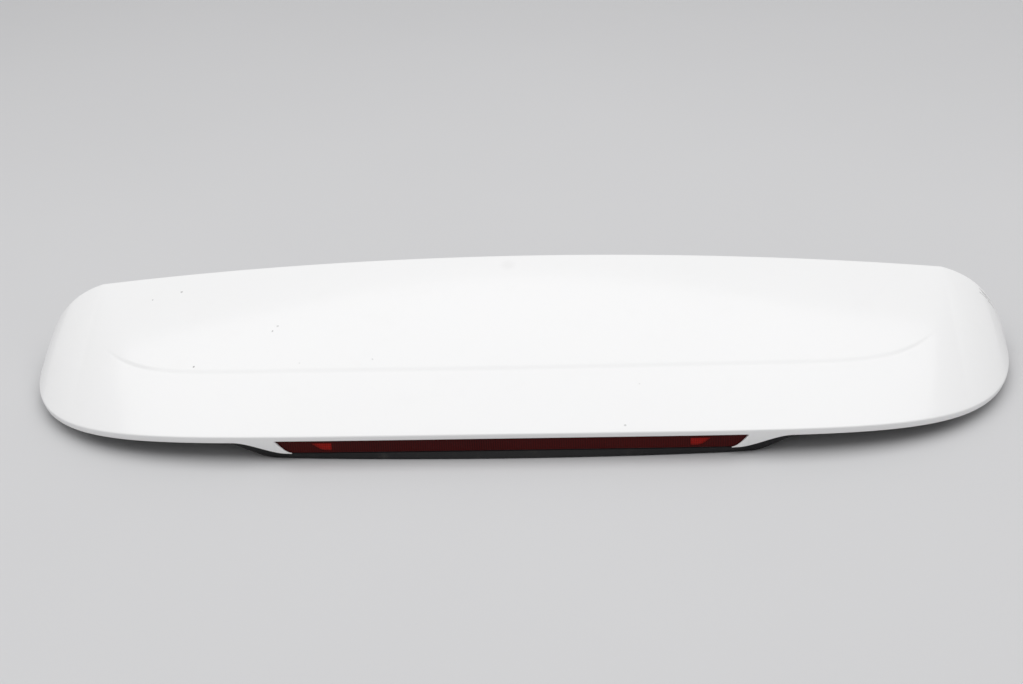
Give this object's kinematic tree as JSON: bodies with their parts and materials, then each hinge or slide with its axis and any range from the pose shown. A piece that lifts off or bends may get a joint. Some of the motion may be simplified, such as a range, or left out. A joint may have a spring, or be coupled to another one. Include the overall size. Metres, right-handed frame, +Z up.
{
  "type": "car rear spoiler",
  "caption": "White painted tailgate roof spoiler with turned-down cheeks, a long smoked brake lamp with red end windows under its trailing edge, and foam seals, studs and clips in front.",
  "frame": {"origin": "centre of the bounding box in plan, on the flat underside of the lamp pod that the part rests on", "axes": "+X across the vehicle, +Y from the trailing edge to the leading edge, +Z up with the part resting on its lamp pod"},
  "size_m": [1.173, 0.2579, 0.1287],
  "materials": {
    "white_paint": "gloss clear coat over white paint",
    "black_plastic": "fine grain, unpainted",
    "seal_foam": "closed-cell foam",
    "grommet_rubber": "moulded rubber",
    "zinc_steel": "zinc plated",
    "clip_plastic": "natural nylon",
    "lamp_black": "smooth moulded",
    "smoked_lens": "polished, dark red smoke",
    "red_window": "polished red",
    "bright_reflector": "metallised",
    "circuit_board": "solder mask",
    "diode_white": "clear resin over a light body",
    "terminal_brass": "bare"
  },
  "bodies": {
    "root": {"upper_skin": "white_paint", "lower_shell": "black_plastic", "leading_seal": "seal_foam", "cheek_seal_left": "seal_foam", "cheek_seal_right": "seal_foam", "lower_seal": "seal_foam", "mounting_studs": "zinc_steel", "stud_foam_rings": "seal_foam", "end_clips": "clip_plastic", "cable_grommet": "grommet_rubber", "lamp_housing": "lamp_black", "lamp_lens": "smoked_lens", "side_window_left": "red_window", "side_window_right": "red_window", "lamp_gasket": "seal_foam", "lamp_reflector": "bright_reflector", "led_board": "circuit_board", "leds": "diode_white", "lamp_screws": "zinc_steel", "lamp_terminals": "terminal_brass"}
  },
  "joints": []
}
